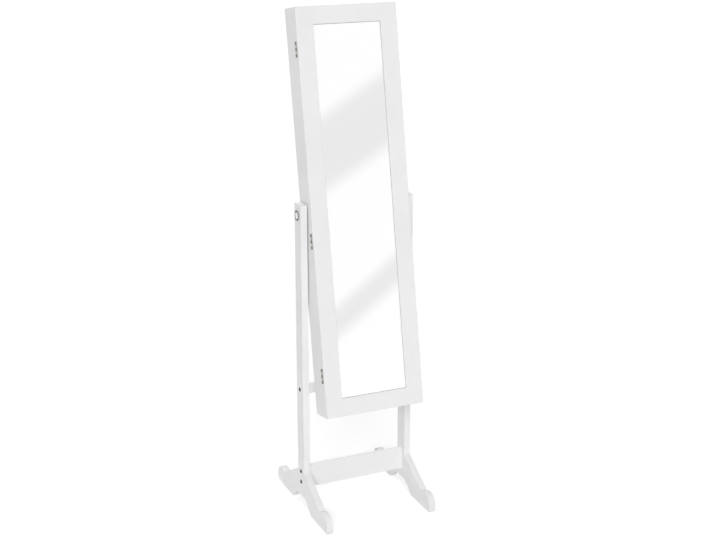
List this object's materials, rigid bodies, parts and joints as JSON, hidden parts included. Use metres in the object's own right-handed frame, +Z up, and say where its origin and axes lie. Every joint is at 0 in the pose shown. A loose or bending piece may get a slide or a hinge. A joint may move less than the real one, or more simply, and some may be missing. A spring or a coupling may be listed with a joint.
{
  "type": "standing jewellery cabinet with mirror door",
  "caption": "Free-standing tilting full-length mirror: a shallow jewellery cabinet behind a hinged mirror door, hung between posts on shaped feet.",
  "frame": {"origin": "on the floor, under the middle of the feet", "axes": "+X to the right as the mirror is faced, -Y out of the mirror towards the person, +Z up"},
  "size_m": [0.357, 0.394, 1.4573],
  "materials": {
    "white_board": "smooth white paint on board, satin",
    "dark_velvet": "short velvet glued on board",
    "padded_velvet": "velvet over a foam core",
    "black_steel": "blackened",
    "bright_steel": "zinc plated",
    "aged_brass": "dull",
    "beech": "bare",
    "dark_plastic": "matt",
    "white_plastic": "matt",
    "mirror": "silvered glass",
    "grey_board": "bare board"
  },
  "bodies": {
    "stand": {"post_left": "white_board", "post_right": "white_board", "foot_left": "white_board", "foot_right": "white_board", "stretcher": "white_board", "cross_rail": "white_board", "frame_bolts": "black_steel", "barrel_nuts": "bright_steel", "post_dowels": "beech", "friction_washers": "dark_plastic"},
    "cabinet": {"side_left": "white_board", "side_right": "white_board", "cabinet_top": "white_board", "cabinet_bottom": "white_board", "back_panel": "white_board", "lining_back": "dark_velvet", "lining_sides": "dark_velvet", "shelves": "dark_velvet", "shelf_lips": "white_board", "ring_tray": "dark_velvet", "ring_rolls": "padded_velvet", "earring_bars": "dark_velvet", "hook_rail": "dark_velvet", "necklace_hooks": "bright_steel", "bracelet_rod": "dark_velvet", "rod_sockets": "bright_steel", "box_hinge_leaves": "aged_brass", "hinge_pins": "aged_brass", "box_hinge_screws": "aged_brass", "pivot_bushes": "bright_steel", "catch_magnet": "white_plastic"},
    "door": {"stile_left": "white_board", "stile_right": "white_board", "rail_top": "white_board", "rail_bottom": "white_board", "mirror_glass": "mirror", "mirror_backing": "grey_board", "backing_clips": "bright_steel", "clip_screws": "bright_steel", "door_hinge_leaves": "aged_brass", "door_hinge_screws": "aged_brass", "catch_plate": "bright_steel"},
    "knob_left": {"knob_left": "bright_steel"},
    "knob_right": {"knob_right": "bright_steel"}
  },
  "joints": [
    {"name": "cabinet_tilt", "type": "hinge", "parent": "stand", "child": "cabinet", "pos_m": [0, 0, 0.893], "axis": [-1, 0, 0], "range_deg": [-5.8, 4.5]},
    {"name": "door_swing", "type": "hinge", "parent": "cabinet", "child": "door", "pos_m": [-0.151, -0.03582, 0.89455], "axis": [0, -0.1822, -0.9833], "range_deg": [0, 100]},
    {"name": "knob_left_turn", "type": "hinge", "parent": "cabinet", "child": "knob_left", "pos_m": [-0.1735, 0, 0.893], "axis": [-1, 0, 0], "range_deg": [0, 360]},
    {"name": "knob_right_turn", "type": "hinge", "parent": "cabinet", "child": "knob_right", "pos_m": [0.1735, 0, 0.893], "axis": [1, 0, 0], "range_deg": [0, 360]}
  ]
}
